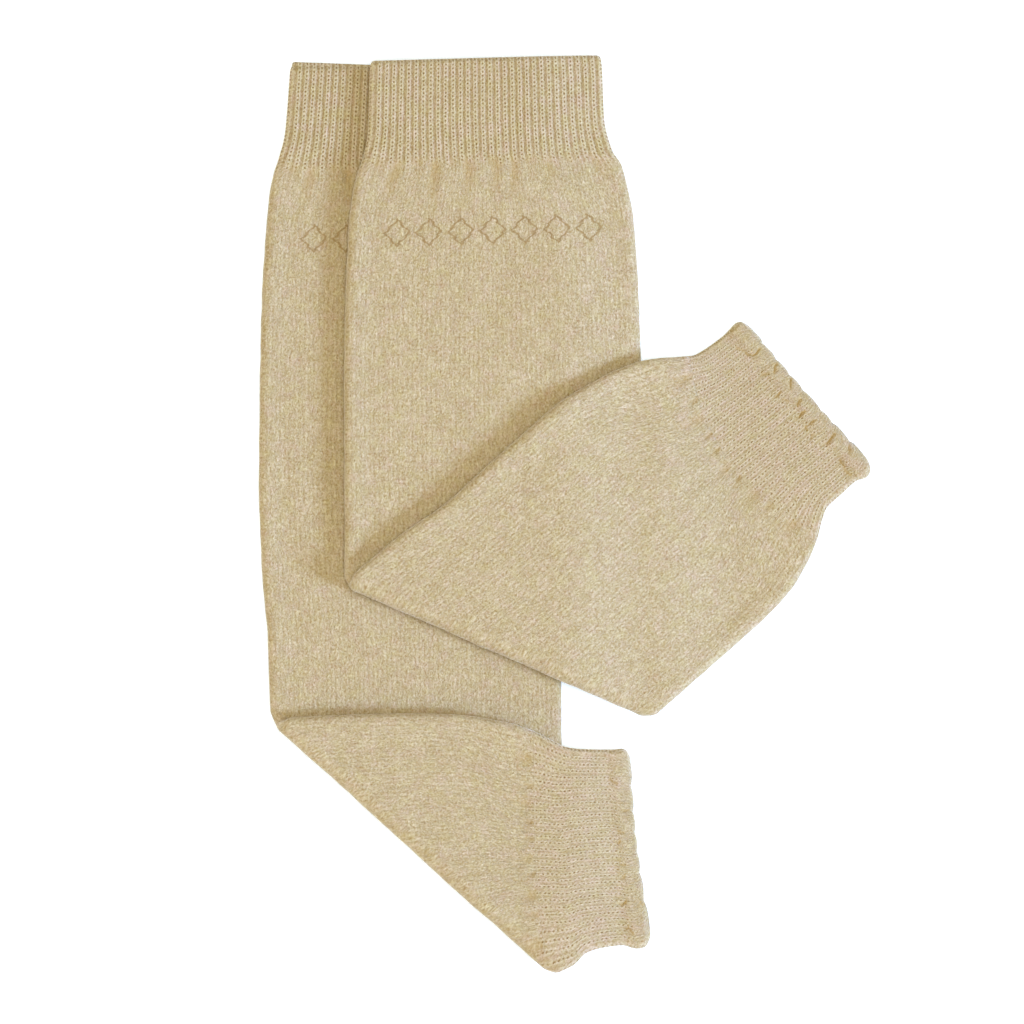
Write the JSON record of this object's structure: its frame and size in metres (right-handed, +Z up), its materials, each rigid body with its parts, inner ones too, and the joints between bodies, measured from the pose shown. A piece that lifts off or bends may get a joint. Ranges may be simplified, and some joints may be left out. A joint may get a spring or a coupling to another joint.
{
  "type": "pair of leg warmers",
  "caption": "Pair of baby's knitted wool leg warmers with ribbed cuffs and frilled ankles, laid flat, folded back on themselves, one partly on the other.",
  "frame": {"origin": "middle of the pair's footprint, on the surface that it lies on", "axes": "+Y along the leg warmers towards their top cuffs, +X across them towards the side where the ankles lie, +Z up from the surface"},
  "size_m": [0.1842, 0.2758, 0.0138],
  "materials": {
    "plain_wool": "soft heathered wool knit with a short nap, oatmeal beige",
    "rib_wool": "one-by-one wool rib, oatmeal beige"
  },
  "bodies": {
    "root": {"under_top_cuff": "rib_wool", "under_leg": "plain_wool", "under_ankle_cuff": "rib_wool", "under_frill": "plain_wool", "over_top_cuff": "rib_wool", "over_leg": "plain_wool", "over_ankle_cuff": "rib_wool", "over_frill": "plain_wool"}
  },
  "joints": []
}
